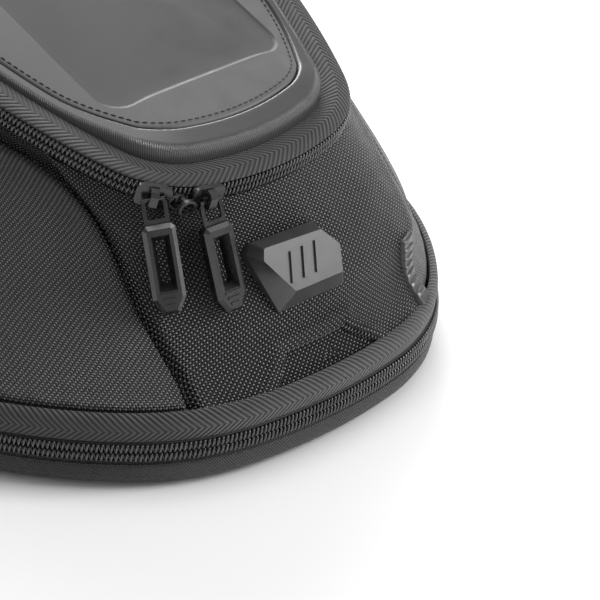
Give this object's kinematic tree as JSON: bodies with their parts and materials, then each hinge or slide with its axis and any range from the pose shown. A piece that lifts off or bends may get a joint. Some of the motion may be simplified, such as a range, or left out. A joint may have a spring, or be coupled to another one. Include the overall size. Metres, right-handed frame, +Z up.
{
  "type": "motorcycle tank bag",
  "caption": "Expandable motorcycle tank bag with a zipped lid, moulded rubber zip pulls, an expansion zip round its foot and a quick-release ring under its floor.",
  "frame": {"origin": "on the ground under the middle of the bag", "axes": "+Z up, +Y towards the windscreen, the rider is towards -Y, +X to the rider's right"},
  "size_m": [0.2796, 0.3332, 0.1832],
  "materials": {
    "ballistic_fabric": "coarse ballistic weave",
    "side_fabric": "fine tight weave",
    "lining_fabric": "plain lining",
    "tape_fabric": "herringbone tape",
    "binding_fabric": "twill binding",
    "rubber_black": "moulded satin rubber",
    "webbing": "woven webbing",
    "moulded_plastic": "moulded",
    "foam_mat": "foam with fabric face",
    "backing_steel": "plated",
    "screw_steel": "plated",
    "zip_coil": "nylon coil on tape",
    "black_metal": "satin black coating",
    "rubber_grip": "moulded grip",
    "moulded_shell": "laminated moulded foam",
    "mesh_fabric": "open mesh"
  },
  "bodies": {
    "base": {"base_plate": "moulded_plastic", "base_rim": "lining_fabric", "floor_mat": "foam_mat", "mat_cover": "foam_mat", "lower_binding": "binding_fabric", "expansion_gusset": "lining_fabric", "anti_slip_pads": "rubber_black", "ring_adapter": "moulded_plastic", "backing_ring": "backing_steel", "adapter_screws": "screw_steel", "guide_magnets": "screw_steel", "lock_springs": "screw_steel", "expansion_zip_lower": "zip_coil"},
    "lock": {"lock_bolt": "moulded_plastic", "release_strap": "webbing"},
    "expansion_runner": {"expansion_slider": "black_metal"},
    "expansion_tab": {"expansion_pull": "black_metal"},
    "upper": {"front_panel": "ballistic_fabric", "left_side_panel": "side_fabric", "right_side_panel": "side_fabric", "rear_panel": "side_fabric", "wall_lining": "lining_fabric", "upper_binding": "tape_fabric", "expansion_zip_upper": "zip_coil", "main_zip_body_row": "zip_coil", "hinge_strip": "tape_fabric", "zip_garage_left": "rubber_black", "zip_garage_right": "rubber_black", "badge": "rubber_black", "side_label": "rubber_black", "handle_anchors": "webbing", "cable_port": "rubber_black"},
    "lid": {"lid_binding": "tape_fabric", "lid_shell": "moulded_shell", "lid_centre_panel": "moulded_shell", "lid_lining": "lining_fabric", "lid_skirt": "tape_fabric", "mesh_pocket": "mesh_fabric", "pocket_zip": "zip_coil", "main_zip_lid_row": "zip_coil"},
    "pocket_runner": {"pocket_slider": "black_metal", "pocket_pull": "black_metal"},
    "runner_left": {"slider_left": "black_metal"},
    "runner_right": {"slider_right": "black_metal"},
    "pull_left": {"pull_link_left": "black_metal", "pull_grip_left": "rubber_grip"},
    "pull_right": {"pull_link_right": "black_metal", "pull_grip_right": "rubber_grip"},
    "handle": {"handle_strap": "webbing", "handle_grip": "rubber_black"}
  },
  "joints": [
    {"name": "expansion_lift", "type": "slide", "parent": "base", "child": "upper", "axis": [0, 0, 1], "range_m": [0, 0.04], "deforming": ["expansion_gusset"]},
    {"name": "lock_release", "type": "slide", "parent": "base", "child": "lock", "axis": [0, -1, 0], "range_m": [0, 0.006], "stiffness_N_per_m": 900, "springref_m": -0.004, "deforming": ["lock_springs"]},
    {"name": "expansion_slider_run", "type": "hinge", "parent": "base", "child": "expansion_runner", "pos_m": [0, -0.03201, 0.0161], "axis": [0, 0, 1], "range_deg": [-20, 20]},
    {"name": "expansion_pull_swing", "type": "hinge", "parent": "expansion_runner", "child": "expansion_tab", "pos_m": [0, 0.15919, 0.0161], "axis": [1, 0, 0], "range_deg": [0, 150]},
    {"name": "lid_open", "type": "hinge", "parent": "upper", "child": "lid", "pos_m": [0, 0.1003, 0.17575], "axis": [-1, 0, 0], "range_deg": [0, 95]},
    {"name": "slider_left_run", "type": "hinge", "parent": "upper", "child": "runner_left", "pos_m": [-0.02266, -0.08559, 0.11391], "axis": [0, -0.3156, 0.9489], "range_deg": [-24, 0]},
    {"name": "slider_right_run", "type": "hinge", "parent": "upper", "child": "runner_right", "pos_m": [0, -0.00245, 0.14157], "axis": [0, -0.3156, 0.9489], "range_deg": [0, 2.5]},
    {"name": "pull_left_swing", "type": "hinge", "parent": "runner_left", "child": "pull_left", "pos_m": [-0.0534, -0.11844, 0.10298], "axis": [-0.8224, 0.5517, -0.1385], "range_deg": [0, 140]},
    {"name": "pull_right_swing", "type": "hinge", "parent": "runner_right", "child": "pull_right", "pos_m": [-0.03402, -0.12818, 0.09974], "axis": [-0.9786, 0.1858, -0.0881], "range_deg": [0, 140]},
    {"name": "handle_swing", "type": "hinge", "parent": "upper", "child": "handle", "pos_m": [0, 0.14769, 0.13685], "axis": [1, 0, 0], "range_deg": [0, 90]},
    {"name": "pocket_slider_run", "type": "slide", "parent": "lid", "child": "pocket_runner", "axis": [1, 0, 0], "range_m": [0, 0.07]}
  ]
}
